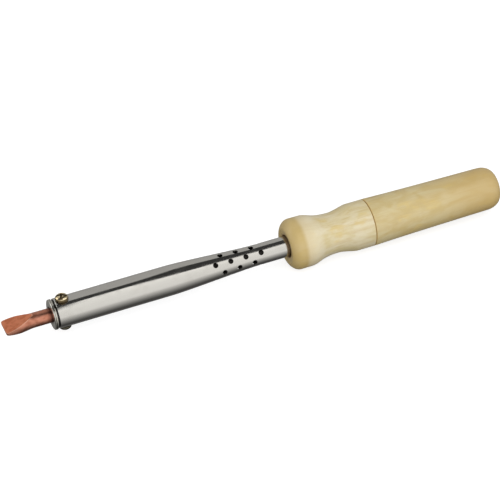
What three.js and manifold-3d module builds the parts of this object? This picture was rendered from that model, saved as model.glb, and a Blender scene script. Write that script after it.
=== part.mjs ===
// A mains soldering iron with a wooden handle, modelled as it comes apart on a bench.
// Millimetres. The iron lies along X: the bit points to -X and the handle to +X. Z is up.
// Along the iron, every place is measured from the front face of the nose bush's flange.
import * as THREE from "three";
import { mergeVertices } from "three/addons/utils/BufferGeometryUtils.js";
import Module from "manifold-3d";

const wasm = await Module();
wasm.setup();

// ---- driving dimensions ----
const FIT = 0.3; // gap round a piece that is pushed into another
const PAST = 1; // how far a cutting tool runs past the surface that it cuts
const LARGE = 36; // sides of the barrel and the grips
const MEDIUM = 24; // sides of the bit, the bush and the heater
const SMALL = 12; // sides of screws and small bores
const COARSE = 5; // steps along each curve of a turned outline
const FINE = 8; // steps along the barrel's taper

const BIT = {
  radius: 4.5, front: -29, back: 76, chamfer: 0.6,
  forgedFrom: -11, ease: 3, shoulder: -18, shoulderRadius: 5.45, widest: -22, halfWidth: 6.6, corner: 1.6,
  edgeHalf: 0.65,
};
const BUSH = {
  bore: 4.65, flangeRadius: 9.35, flange: 2.2, rim: 0.8, chamfer: 0.5, radius: 8.3, back: 14, seat: 10.2,
  groove: 0.85, grooveWidth: 0.45, grooveDepth: 0.4, backRim: 0.3,
};
const BARREL = {
  front: 3.3, radius: 9.25, wall: 0.6, taperFrom: 74, easeIn: 12.5, taperTo: 132, easeOut: 10.5,
  neck: 6.5, back: 185, flare: 7.6, flareLength: 1.2,
};
const CLAMP = {
  at: 8, shank: 1.9, head: 4.05, headHeight: 3.3, rimHeight: 1.2, crown: 1.8, tip: 4.8, base: 9.4,
  chamfer: 0.4, threadGap: 0.2, clearance: 0.4,
};
const RECESS = { length: 6.4, width: 1.2, depth: 2.3, turn: 70 }; // turn in degrees
const VENT = { radius: 1.65, from: 103.5, pitch: 10, inLine: 4, rows: 8, sides: 8 };

const SLEEVE = { inner: 4.75, outer: 5.25, front: 10.6, back: 80 };
const MICA = { inner: 5.4, innerWall: 0.35, outer: 6.7, outerWall: 0.4, front: 15, back: 70 };
const WINDING = { radius: 6.25, wire: 0.3, turns: 12, stepsPerTurn: 14, sides: 4, front: 17, back: 68.5 };
const JACKET = { inner: 7.6, outer: 8.2, front: 14.5, back: 72.5 };
const END_WASHER = { inner: 5.6, outer: 8.2, front: 73, thick: 1.5 };
const INSULATOR = { radius: 3.3, front: 102, back: 196, bore: 0.85, offset: 1.6 };
const LEAD = {
  wire: 0.5, front: 71, back: 236, wide: 6.7,
  closeFrom: 88, closeTo: 100, openFrom: 198, openTo: 212, steps: 40, sides: 5,
};

const NOSE = {
  front: 150.7, faceRadius: 7.7, radius: 16.1, roundTo: 157.3, flatTo: 163.6, ease: 6,
  lipTurn: 0.456, dishRadius: 10.75, dish: 151.12, mouthRadius: 7.3, mouth: 152.05, boreFrom: 153,
};
const WAIST = { at: 183, radius: 12.8, easeIn: 12.7, easeOut: 4 };
const COLLAR = { from: 195.4, radius: 14.95, ease: 2.2, back: 205.9, chamfer: 0.3 };
const SPIGOT = { radius: 11, back: 226 };
const GRIP_BORE = { radius: BARREL.neck + FIT, stepAt: 182, wide: 8.2 };
const RETAINER = { thick: 1.2, outer: 7.9 };

const REAR = {
  front: 206.2, radius: 14.95, tapersFrom: 209, easeTo: 225, easeRadius: 14.3,
  roundFrom: 285.6, backRadius: 13.55, back: 294, faceRadius: 8,
  socketBack: 226.6, cavity: 9.5, cavityBack: 281,
};
const GROMMET = {
  body: 5, bore: 3.5, flange: 7, flangeFront: 279.2, flangeThick: 1.5,
  lip: 6, lipFront: 292.3, lipBack: 293.7, chamfer: 0.4,
};

const BLOCK = { stemFront: 214, front: 226.4, back: 250, width: 15, height: 9 };
const TERMINAL = { offset: 3.6, outer: 2.3, inner: 1.3, front: 228.4, back: 248.4 };
const TERMINAL_SCREW = { shank: 1, head: 1.6, tip: 0.8, base: 2.7, top: 4.3, slot: 0.5, slotDepth: 0.6 };
const TERMINAL_SCREWS_AT = [232.5, 244.5];

const AXIS_HEIGHT = NOSE.radius; // the nose of the handle is the widest place
const MIDDLE = (BIT.front + REAR.back) / 2;

// ---- finishes ----
const finish = (color, roughness, metalness) => ({ color, roughness, metalness });
const FINISH = {
  copper: finish("#b8694d", 0.45, 1),
  nickel: finish("#b9b7b1", 0.25, 1),
  brass: finish("#c4a052", 0.3, 1),
  steel: finish("#b4b3b0", 0.22, 1),
  heaterSteel: finish("#86827c", 0.5, 1),
  mica: finish("#b7a684", 0.6, 0),
  wire: finish("#6f6a64", 0.5, 1),
  ceramic: finish("#d9d2c3", 0.7, 0),
  frontWood: finish("#decda2", 0.5, 0),
  rearWood: finish("#cbb689", 0.5, 0),
  rubber: finish("#2b2a29", 0.8, 0),
  phenolic: finish("#3d2a20", 0.5, 0),
};

// ---- shapes ----
const point = (radius, along) => new THREE.Vector2(radius, along);

// A profile of (radius, place along the iron), turned about the iron's axis.
function turned(profile, sides) {
  return new THREE.LatheGeometry(profile, sides).rotateZ(-Math.PI / 2);
}

// A plain tube on the iron's axis.
function tube(inner, outer, front, back, sides) {
  const corners = [point(inner, front), point(outer, front), point(outer, back), point(inner, back)];
  return turned([...corners, point(inner, front)], sides);
}

// A rod along the iron, beside its axis by y.
function rod(radius, front, back, y = 0, sides = SMALL) {
  const shape = new THREE.CylinderGeometry(radius, radius, back - front, sides);
  return shape.rotateZ(Math.PI / 2).translate((front + back) / 2, y, 0);
}

// A rod that points away from the iron's axis: from one height to another along Z, then turned by angle.
function spoke(radius, low, high, along, angle = 0, sides = SMALL) {
  const shape = new THREE.CylinderGeometry(radius, radius, high - low, sides);
  shape.rotateX(Math.PI / 2).translate(along, 0, (low + high) / 2);
  return shape.rotateX(angle);
}

function asSolid(geometry) {
  const bare = geometry.clone();
  bare.deleteAttribute("normal");
  bare.deleteAttribute("uv");
  const merged = mergeVertices(bare);
  const vertProperties = merged.attributes.position.array;
  const triVerts = new Uint32Array(merged.index.array);
  return new wasm.Manifold(new wasm.Mesh({ numProp: 3, vertProperties, triVerts }));
}

function asGeometry(solid) {
  const { vertProperties, triVerts } = solid.getMesh();
  const geometry = new THREE.BufferGeometry();
  geometry.setAttribute("position", new THREE.BufferAttribute(vertProperties, 3));
  geometry.setIndex(new THREE.BufferAttribute(triVerts, 1));
  geometry.computeVertexNormals();
  return geometry;
}

function cut(geometry, tools) {
  return asGeometry(tools.reduce((solid, tool) => solid.subtract(asSolid(tool)), asSolid(geometry)));
}

function join(geometry, other) {
  return asGeometry(asSolid(geometry).add(asSolid(other)));
}

function common(geometry, other) {
  return asGeometry(asSolid(geometry).intersect(asSolid(other)));
}

const iron = new THREE.Group();
iron.position.set(-MIDDLE, 0, AXIS_HEIGHT);

function add(name, look, geometry) {
  const mesh = new THREE.Mesh(geometry, new THREE.MeshStandardMaterial(look));
  mesh.name = name;
  iron.add(mesh);
  return mesh;
}

// ---- bit ----
// Round copper rod whose end is spread and forged flat between two slanting faces.
function bit() {
  const outline = new THREE.Path();
  outline.moveTo(0, BIT.front);
  outline.lineTo(BIT.halfWidth - BIT.corner, BIT.front);
  outline.quadraticCurveTo(BIT.halfWidth, BIT.front, BIT.halfWidth, BIT.front + BIT.corner);
  outline.quadraticCurveTo(BIT.halfWidth, BIT.widest, BIT.shoulderRadius, BIT.shoulder);
  outline.quadraticCurveTo(BIT.radius, BIT.forgedFrom - BIT.ease, BIT.radius, BIT.forgedFrom);
  outline.lineTo(BIT.radius, BIT.back - BIT.chamfer);
  outline.lineTo(BIT.radius - BIT.chamfer, BIT.back);
  outline.lineTo(0, BIT.back);
  const rodWithSpreadEnd = turned(outline.getPoints(COARSE), MEDIUM);

  const side = new THREE.Shape();
  const past = BIT.radius + PAST;
  side.moveTo(BIT.front - PAST, -BIT.edgeHalf);
  side.lineTo(BIT.front, -BIT.edgeHalf);
  side.lineTo(BIT.forgedFrom, -BIT.radius);
  side.lineTo(BIT.forgedFrom, -past);
  side.lineTo(BIT.back + PAST, -past);
  side.lineTo(BIT.back + PAST, past);
  side.lineTo(BIT.forgedFrom, past);
  side.lineTo(BIT.forgedFrom, BIT.radius);
  side.lineTo(BIT.front, BIT.edgeHalf);
  side.lineTo(BIT.front - PAST, BIT.edgeHalf);
  const depth = 2 * (BIT.halfWidth + PAST);
  const wedge = new THREE.ExtrudeGeometry(side, { depth, bevelEnabled: false });
  wedge.translate(0, 0, -depth / 2).rotateX(Math.PI / 2);
  return common(rodWithSpreadEnd, wedge);
}

// ---- nose bush and its two clamp screws ----
function noseBush() {
  const outline = new THREE.Path();
  outline.moveTo(BUSH.bore, BUSH.chamfer);
  outline.lineTo(BUSH.bore + BUSH.chamfer, 0);
  outline.lineTo(BUSH.flangeRadius - BUSH.rim, 0);
  outline.quadraticCurveTo(BUSH.flangeRadius, 0, BUSH.flangeRadius, BUSH.rim);
  outline.lineTo(BUSH.flangeRadius, BUSH.groove);
  outline.lineTo(BUSH.flangeRadius - BUSH.grooveDepth, BUSH.groove + BUSH.grooveWidth / 3);
  outline.lineTo(BUSH.flangeRadius - BUSH.grooveDepth, BUSH.groove + (2 * BUSH.grooveWidth) / 3);
  outline.lineTo(BUSH.flangeRadius, BUSH.groove + BUSH.grooveWidth);
  outline.lineTo(BUSH.flangeRadius, BUSH.flange - BUSH.backRim);
  outline.lineTo(BUSH.flangeRadius - BUSH.backRim, BUSH.flange);
  outline.lineTo(BUSH.radius, BUSH.flange);
  outline.lineTo(BUSH.radius, BUSH.back);
  outline.lineTo(SLEEVE.outer + FIT, BUSH.back);
  outline.lineTo(SLEEVE.outer + FIT, BUSH.seat);
  outline.lineTo(BUSH.bore, BUSH.seat);
  outline.lineTo(BUSH.bore, BUSH.chamfer);
  const tapped = spoke(CLAMP.shank + CLAMP.threadGap, -BUSH.flangeRadius, BUSH.flangeRadius, CLAMP.at);
  return cut(turned(outline.getPoints(COARSE), MEDIUM), [tapped]);
}

// A pan-head screw with a cross recess, standing out of the iron along +Z.
function clampScrew() {
  const top = CLAMP.base + CLAMP.headHeight;
  const outline = new THREE.Path();
  outline.moveTo(0, CLAMP.tip);
  outline.lineTo(CLAMP.shank - CLAMP.chamfer, CLAMP.tip);
  outline.lineTo(CLAMP.shank, CLAMP.tip + CLAMP.chamfer);
  outline.lineTo(CLAMP.shank, CLAMP.base);
  outline.lineTo(CLAMP.head, CLAMP.base);
  outline.lineTo(CLAMP.head, CLAMP.base + CLAMP.rimHeight);
  outline.quadraticCurveTo(CLAMP.head - CLAMP.chamfer, top, CLAMP.crown, top);
  outline.lineTo(0, top);
  const screw = new THREE.LatheGeometry(outline.getPoints(COARSE), 2 * SMALL);
  screw.rotateX(Math.PI / 2).translate(CLAMP.at, 0, 0);
  const arm = new THREE.BoxGeometry(RECESS.length, RECESS.width, 2 * RECESS.depth);
  const arms = [RECESS.turn, RECESS.turn + 90].map((degrees) =>
    arm.clone().rotateZ((degrees / 180) * Math.PI).translate(CLAMP.at, 0, top));
  return cut(screw, arms);
}

// ---- barrel ----
function ventHoles() {
  const holes = [];
  for (let row = 0; row < VENT.rows; row += 1) {
    const between = row % 2 === 0; // rows in line with the screws have one hole fewer
    const count = between ? VENT.inLine - 1 : VENT.inLine;
    const start = between ? VENT.from + VENT.pitch / 2 : VENT.from;
    for (let i = 0; i < count; i += 1) {
      const along = start + i * VENT.pitch;
      const angle = (row * 2 * Math.PI) / VENT.rows;
      holes.push(spoke(VENT.radius, INSULATOR.radius, BARREL.radius + PAST, along, angle, VENT.sides));
    }
  }
  return holes;
}

function barrel() {
  const outline = new THREE.Path();
  outline.moveTo(BARREL.radius, BARREL.front);
  outline.lineTo(BARREL.radius, BARREL.taperFrom);
  outline.bezierCurveTo(
    BARREL.radius, BARREL.taperFrom + BARREL.easeIn,
    BARREL.neck, BARREL.taperTo - BARREL.easeOut, BARREL.neck, BARREL.taperTo,
  );
  outline.lineTo(BARREL.neck, BARREL.back - BARREL.flareLength);
  outline.lineTo(BARREL.flare, BARREL.back);
  const outer = outline.getPoints(FINE);
  const inner = outer.map(({ x, y }) => point(x - BARREL.wall, y)).reverse();
  const shell = turned([...outer, ...inner, outer[0]], LARGE);
  const reach = BARREL.radius + PAST;
  const forScrews = spoke(CLAMP.shank + CLAMP.clearance, -reach, reach, CLAMP.at);
  return cut(shell, [forScrews, ...ventHoles()]);
}

// ---- heater ----
class Helix extends THREE.Curve {
  getPoint(t, target = new THREE.Vector3()) {
    const turn = t * WINDING.turns * 2 * Math.PI;
    const along = WINDING.front + t * (WINDING.back - WINDING.front);
    return target.set(along, WINDING.radius * Math.cos(turn), WINDING.radius * Math.sin(turn));
  }
}

// A lead leaves the heater beside the bit, closes in to the insulator and opens to its terminal.
class LeadPath extends THREE.Curve {
  constructor(side) {
    super();
    this.side = side;
  }
  getPoint(t, target = new THREE.Vector3()) {
    const along = THREE.MathUtils.lerp(LEAD.front, LEAD.back, t);
    const closed = THREE.MathUtils.smoothstep(along, LEAD.closeFrom, LEAD.closeTo);
    const opened = THREE.MathUtils.smoothstep(along, LEAD.openFrom, LEAD.openTo);
    const toBore = THREE.MathUtils.lerp(LEAD.wide, INSULATOR.offset, closed);
    const offset = toBore + opened * (TERMINAL.offset - INSULATOR.offset);
    return target.set(along, this.side * offset, 0);
  }
}

function wire(radius, sides, extrudePath, steps) {
  const corners = [];
  for (let i = 0; i < sides; i += 1) {
    const turn = (i * 2 * Math.PI) / sides;
    corners.push(new THREE.Vector2(radius * Math.cos(turn), radius * Math.sin(turn)));
  }
  return new THREE.ExtrudeGeometry(new THREE.Shape(corners), { steps, extrudePath });
}

function endWasher() {
  const { inner, outer, front, thick } = END_WASHER;
  const hole = (side) => rod(LEAD.wire + FIT, front - PAST, front + thick + PAST, side * LEAD.wide);
  return cut(tube(inner, outer, front, front + thick, MEDIUM), [hole(1), hole(-1)]);
}

function leadInsulator() {
  const { radius, front, back, bore, offset } = INSULATOR;
  const hole = (side) => rod(bore, front - PAST, back + PAST, side * offset);
  return cut(rod(radius, front, back, 0, 2 * SMALL), [hole(1), hole(-1)]);
}

// ---- handle ----
// Turned wood with a round nose, a waist, a collar, and a spigot that the rear grip fits over.
// The nose is dished a little round the barrel, down to the chamfered mouth of the bore.
function frontGrip() {
  const width = NOSE.radius - NOSE.faceRadius;
  const depth = NOSE.roundTo - NOSE.front;
  const lipRadius = NOSE.faceRadius + width * Math.sin(NOSE.lipTurn);
  const lipAlong = NOSE.roundTo - depth * Math.cos(NOSE.lipTurn);
  const outline = new THREE.Path();
  outline.moveTo(GRIP_BORE.radius, NOSE.boreFrom);
  outline.lineTo(NOSE.mouthRadius, NOSE.mouth);
  outline.quadraticCurveTo(NOSE.dishRadius, NOSE.dish, lipRadius, lipAlong);
  outline.absellipse(
    NOSE.faceRadius, NOSE.roundTo, width, depth,
    NOSE.lipTurn - Math.PI / 2, 0, false, 0,
  );
  outline.lineTo(NOSE.radius, NOSE.flatTo);
  outline.bezierCurveTo(
    NOSE.radius, NOSE.flatTo + NOSE.ease,
    WAIST.radius, WAIST.at - WAIST.easeIn, WAIST.radius, WAIST.at,
  );
  outline.bezierCurveTo(
    WAIST.radius, WAIST.at + WAIST.easeOut,
    COLLAR.radius, COLLAR.from - COLLAR.ease, COLLAR.radius, COLLAR.from,
  );
  outline.lineTo(COLLAR.radius, COLLAR.back - COLLAR.chamfer);
  outline.lineTo(COLLAR.radius - COLLAR.chamfer, COLLAR.back);
  outline.lineTo(SPIGOT.radius, COLLAR.back);
  outline.lineTo(SPIGOT.radius, SPIGOT.back);
  outline.lineTo(GRIP_BORE.wide, SPIGOT.back);
  outline.lineTo(GRIP_BORE.wide, GRIP_BORE.stepAt);
  outline.lineTo(GRIP_BORE.radius, GRIP_BORE.stepAt);
  outline.lineTo(GRIP_BORE.radius, NOSE.boreFrom);
  return turned(outline.getPoints(COARSE), LARGE);
}

// A turned wood sleeve with a round end and an inlet for the cord.
function rearGrip() {
  const outline = new THREE.Path();
  outline.moveTo(SPIGOT.radius + FIT, REAR.front);
  outline.lineTo(REAR.radius - COLLAR.chamfer, REAR.front);
  outline.lineTo(REAR.radius, REAR.front + COLLAR.chamfer);
  outline.lineTo(REAR.radius, REAR.tapersFrom);
  outline.quadraticCurveTo(REAR.easeRadius, REAR.easeTo, REAR.backRadius, REAR.roundFrom);
  outline.absellipse(
    REAR.faceRadius, REAR.roundFrom,
    REAR.backRadius - REAR.faceRadius, REAR.back - REAR.roundFrom,
    0, Math.PI / 2, false, 0,
  );
  outline.lineTo(GROMMET.lip + FIT, REAR.back);
  outline.lineTo(GROMMET.lip + FIT, GROMMET.lipFront - FIT);
  outline.lineTo(GROMMET.body + FIT, GROMMET.lipFront - FIT);
  outline.lineTo(GROMMET.body + FIT, REAR.cavityBack);
  outline.lineTo(REAR.cavity, REAR.cavityBack);
  outline.lineTo(REAR.cavity, REAR.socketBack);
  outline.lineTo(SPIGOT.radius + FIT, REAR.socketBack);
  outline.lineTo(SPIGOT.radius + FIT, REAR.front);
  return turned(outline.getPoints(COARSE), LARGE);
}

function cordGrommet() {
  const flangeBack = GROMMET.flangeFront + GROMMET.flangeThick;
  const profile = [
    point(GROMMET.bore, GROMMET.flangeFront),
    point(GROMMET.flange, GROMMET.flangeFront),
    point(GROMMET.flange, flangeBack),
    point(GROMMET.body, flangeBack),
    point(GROMMET.body, GROMMET.lipFront),
    point(GROMMET.lip, GROMMET.lipFront),
    point(GROMMET.lip, GROMMET.lipBack - GROMMET.chamfer),
    point(GROMMET.lip - GROMMET.chamfer, GROMMET.lipBack),
    point(GROMMET.bore + GROMMET.chamfer, GROMMET.lipBack),
    point(GROMMET.bore, GROMMET.lipBack - GROMMET.chamfer),
    point(GROMMET.bore, GROMMET.flangeFront),
  ];
  return turned(profile, MEDIUM);
}

// ---- terminals ----
// A two-pole block: its stem plugs into the spigot's bore and its body stands in the rear grip.
function terminalBlock() {
  const length = BLOCK.back - BLOCK.front;
  const body = new THREE.BoxGeometry(length, BLOCK.width, BLOCK.height);
  body.translate(BLOCK.front + length / 2, 0, 0);
  const stem = rod(GRIP_BORE.wide - FIT, BLOCK.stemFront, BLOCK.front + PAST, 0, MEDIUM);
  const tools = [];
  for (const side of [1, -1]) {
    const y = side * TERMINAL.offset;
    tools.push(rod(TERMINAL.outer + FIT, BLOCK.stemFront - PAST, BLOCK.back + PAST, y));
    for (const along of TERMINAL_SCREWS_AT) {
      tools.push(spoke(TERMINAL_SCREW.head + FIT, 0, BLOCK.height, along).translate(0, y, 0));
    }
  }
  return cut(join(body, stem), tools);
}

function terminal(side) {
  const { offset, outer, inner, front, back } = TERMINAL;
  const y = side * offset;
  const bore = rod(inner, front - PAST, back + PAST, y);
  const threads = TERMINAL_SCREWS_AT.map((along) =>
    spoke(TERMINAL_SCREW.shank + FIT, 0, outer + PAST, along).translate(0, y, 0));
  return cut(rod(outer, front, back, y), [bore, ...threads]);
}

function terminalScrew() {
  const { shank, head, tip, base, top, slot, slotDepth } = TERMINAL_SCREW;
  const profile = [
    point(0, tip), point(shank, tip), point(shank, base), point(head, base),
    point(head, top), point(0, top),
  ];
  const screw = new THREE.LatheGeometry(profile, SMALL).rotateX(Math.PI / 2);
  const groove = new THREE.BoxGeometry(2 * (head + PAST), slot, 2 * slotDepth).translate(0, 0, top);
  return cut(screw, [groove]);
}

// ---- assembly, from the bit to the handle's end ----
add("bit", FINISH.copper, bit());
add("nose_bush", FINISH.nickel, noseBush());
add("clamp_screw_top", FINISH.brass, clampScrew());
add("clamp_screw_bottom", FINISH.brass, clampScrew()).rotation.x = Math.PI;
add("barrel", FINISH.steel, barrel());

add("heater_sleeve", FINISH.heaterSteel,
  tube(SLEEVE.inner, SLEEVE.outer, SLEEVE.front, SLEEVE.back, MEDIUM));
add("inner_mica", FINISH.mica,
  tube(MICA.inner, MICA.inner + MICA.innerWall, MICA.front, MICA.back, MEDIUM));
add("heater_winding", FINISH.wire,
  wire(WINDING.wire, WINDING.sides, new Helix(), WINDING.turns * WINDING.stepsPerTurn));
add("outer_mica", FINISH.mica,
  tube(MICA.outer, MICA.outer + MICA.outerWall, MICA.front, MICA.back, MEDIUM));
add("heater_jacket", FINISH.heaterSteel,
  tube(JACKET.inner, JACKET.outer, JACKET.front, JACKET.back, MEDIUM));
add("heater_end_washer", FINISH.heaterSteel, endWasher());
add("lead_insulator", FINISH.ceramic, leadInsulator());
for (const [name, side] of [["left", 1], ["right", -1]]) {
  add(`heater_lead_${name}`, FINISH.wire, wire(LEAD.wire, LEAD.sides, new LeadPath(side), LEAD.steps));
}

add("front_grip", FINISH.frontWood, frontGrip());
add("barrel_retainer", FINISH.heaterSteel, tube(
  GRIP_BORE.radius, RETAINER.outer,
  GRIP_BORE.stepAt + FIT, GRIP_BORE.stepAt + FIT + RETAINER.thick, MEDIUM));
add("rear_grip", FINISH.rearWood, rearGrip());
add("cord_grommet", FINISH.rubber, cordGrommet());

add("terminal_block", FINISH.phenolic, terminalBlock());
for (const [name, side] of [["left", 1], ["right", -1]]) {
  add(`terminal_${name}`, FINISH.brass, terminal(side));
  for (const [end, along] of [["front", TERMINAL_SCREWS_AT[0]], ["rear", TERMINAL_SCREWS_AT[1]]]) {
    const screw = add(`terminal_screw_${name}_${end}`, FINISH.steel, terminalScrew());
    screw.position.set(along, side * TERMINAL.offset, 0);
  }
}

const group = new THREE.Group();
group.add(iron);
export default group;
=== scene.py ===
import math

import bmesh
import bpy
from mathutils import Matrix, Vector


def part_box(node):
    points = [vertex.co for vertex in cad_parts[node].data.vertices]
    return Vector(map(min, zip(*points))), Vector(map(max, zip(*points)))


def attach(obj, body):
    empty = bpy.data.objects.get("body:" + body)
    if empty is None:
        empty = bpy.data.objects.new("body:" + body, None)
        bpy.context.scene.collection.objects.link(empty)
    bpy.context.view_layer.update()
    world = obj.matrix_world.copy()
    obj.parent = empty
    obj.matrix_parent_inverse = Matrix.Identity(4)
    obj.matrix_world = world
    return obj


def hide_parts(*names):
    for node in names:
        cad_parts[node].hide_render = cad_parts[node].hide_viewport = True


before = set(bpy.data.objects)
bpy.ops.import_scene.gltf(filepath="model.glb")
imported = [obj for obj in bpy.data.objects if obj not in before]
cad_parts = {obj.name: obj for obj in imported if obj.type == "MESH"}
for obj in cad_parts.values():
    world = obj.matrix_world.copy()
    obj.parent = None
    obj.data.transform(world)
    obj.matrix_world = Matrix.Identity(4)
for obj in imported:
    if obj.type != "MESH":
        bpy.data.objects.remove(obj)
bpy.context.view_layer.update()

MM = 0.001
CENTIMETRE = 10 * MM
TURN = 2 * math.pi

FLANGE_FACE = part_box("nose_bush")[0].x
AXIS_Z = (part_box("barrel")[0].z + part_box("barrel")[1].z) / 2


def reach(node):
    """How far a CAD node reaches: its front end, its back end and its radius, in mm."""
    low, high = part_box(node)
    return (low.x - FLANGE_FACE) / MM, (high.x - FLANGE_FACE) / MM, high.y / MM


# ---- sizes, in mm ----
FINE = 160  # sides of the barrel, the bush and the grips
MEDIUM = 96  # sides of the grommet
GAP = 0.3  # gap round a piece that is pushed into another

BIT_FRONT, BIT_BACK, BIT_HALF_WIDTH = reach("bit")
BIT = dict(radius=4.5, chamfer=0.6, forged_from=-11, ease=3, shoulder=-18, shoulder_radius=5.45,
           widest=-22, corner=1.6, edge_half=0.65, bright_corner=0.04, bright_front=0.05)
BIT_EDGES = dict(crease=24, soft_above=22, soft=0.16, steps=2)  # two angles in degrees, a width in mm
# the bit's mesh: how many sections its forged end has and their pitch in mm, the sides of each section's
# flats and rounds, and the least half angle of a flat in degrees
BIT_SECTIONS = dict(pitch=0.35, forged=58, flat_sides=20, round_sides=18, least_flat=4)

_, BUSH_BACK, FLANGE_RADIUS = reach("nose_bush")
BUSH = dict(bore=4.65, flange=2.2, rim=1.5, rim_length=0.8, groove=0.85, groove_width=0.45,
            groove_depth=0.4, groove_edge=0.2, back_rim=0.3, chamfer=0.5, radius=8.3, seat=10.2,
            seat_radius=5.55, screws_at=8, tapped=2.1, ring_pitch=0.22)

BARREL_FRONT, BARREL_BACK, BARREL_RADIUS = reach("barrel")
BARREL = dict(wall=0.6, edge=0.12, taper_from=74, ease_in=12.5, taper_to=132, ease_out=10.5, neck=6.5,
              flare=7.6, flare_length=1.2, screw_hole=2.3)
VENT = dict(radius=1.65, first=103.5, pitch=10, in_line=4, rows=8)
CUT_SCREWS, CUT_VENTS = (6, 11), (4, 10.5)  # how far from the axis each cut begins and ends

SCREW = dict(shank=1.9, root=1.5, pitch=0.7, tip=4.8, base=9.4, head=4.05, height=3.3, rim=0.7,
             rim_round=0.15, dark_below=1.8, dark_depth=0.3)
THREAD = dict(steepness=2.6, lead_in=0.5, lead_in_from=0.6, centre=0.02, rows_per_turn=10, sides=64)
# the cross recess: its bars have the length and width times taper at the bottom, and times spread where they
# end, a little over the head
RECESS = dict(length=7.4, width=1.35, depth=2.3, taper=0.8, spread=1.1, over=0.4, turn=70)
DOME_ENDS = 89.6  # degrees: the head's dome stops just short of its axis

_, SPIGOT_BACK, NOSE_RADIUS = reach("front_grip")
NOSE = dict(front=150.7, face=7.7, round_to=157.3, flat_to=163.6, ease=6, lip_turn=26.13,
            dish_radius=10.75, dish=151.12, mouth_radius=7.3, mouth=152.05, bore_from=153)
WAIST = dict(at=183, radius=12.8, ease_in=12.7, ease_out=4)
COLLAR = dict(start=195.4, ease=2.2, back=205.9, chamfer=0.3)
SPIGOT_RADIUS, SPIGOT_CHAMFER = 11, 0.4
GRIP_BORE = dict(radius=6.8, step_at=182, wide=8.2)

REAR_FRONT, REAR_BACK, COLLAR_RADIUS = reach("rear_grip")
REAR = dict(tapers_from=209, ease_to=225, ease_radius=14.3, round_from=285.6, back_radius=13.55,
            face=8, socket_back=226.6, cavity=9.5, cavity_back=281)

GROMMET_FRONT, GROMMET_BACK, GROMMET_FLANGE = reach("cord_grommet")
GROMMET = dict(body=5, bore=3.5, flange_thick=1.5, lip=6, lip_front=292.3, soft=0.4)


# ---- where painted effects begin and end, in mm along the iron unless the name says otherwise ----
FADE = dict(
    nose=(160, 168), sheen_begins=(158.5, 162), sheen_ends=(168, 174.5), end=(236, 284), mouth=(155, 165),
    from_joint=(0.15, 0.7), facets=(-11.5, -10.5), hot_end=(-3.2, -0.2), shade_behind_flange=(2.0, 2.2),
    bore_shade_radii=(4.9, 6.1), groove_shade_heights=(1.5, 4.5), screw_heights=(-4, 0), shade_in_barrel=(150, 158),
)
MOUTH_RADII = (NOSE["mouth_radius"] - 0.1, NOSE["mouth_radius"] + 0.6)
# where the barrel's painted shade by the wood begins and ends, in mm along the iron
BARREL_MOUTH_SHADE = (NOSE["mouth"] - 2.3, NOSE["mouth"] - 1.6)
GROOVE_SHADE_RADII = (FLANGE_RADIUS - 0.3, FLANGE_RADIUS - 0.1)


# ---- materials ----
def plug(tree, socket, value):
    """Links another node's output to a socket, or sets the socket to a plain value."""
    if isinstance(value, bpy.types.NodeSocket):
        tree.links.new(value, socket)
    else:
        socket.default_value = value


def math_node(tree, operation, *values):
    made = tree.nodes.new("ShaderNodeMath")
    made.operation = operation
    for socket, value in zip(made.inputs, values):
        plug(tree, socket, value)
    return made.outputs[0]


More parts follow.
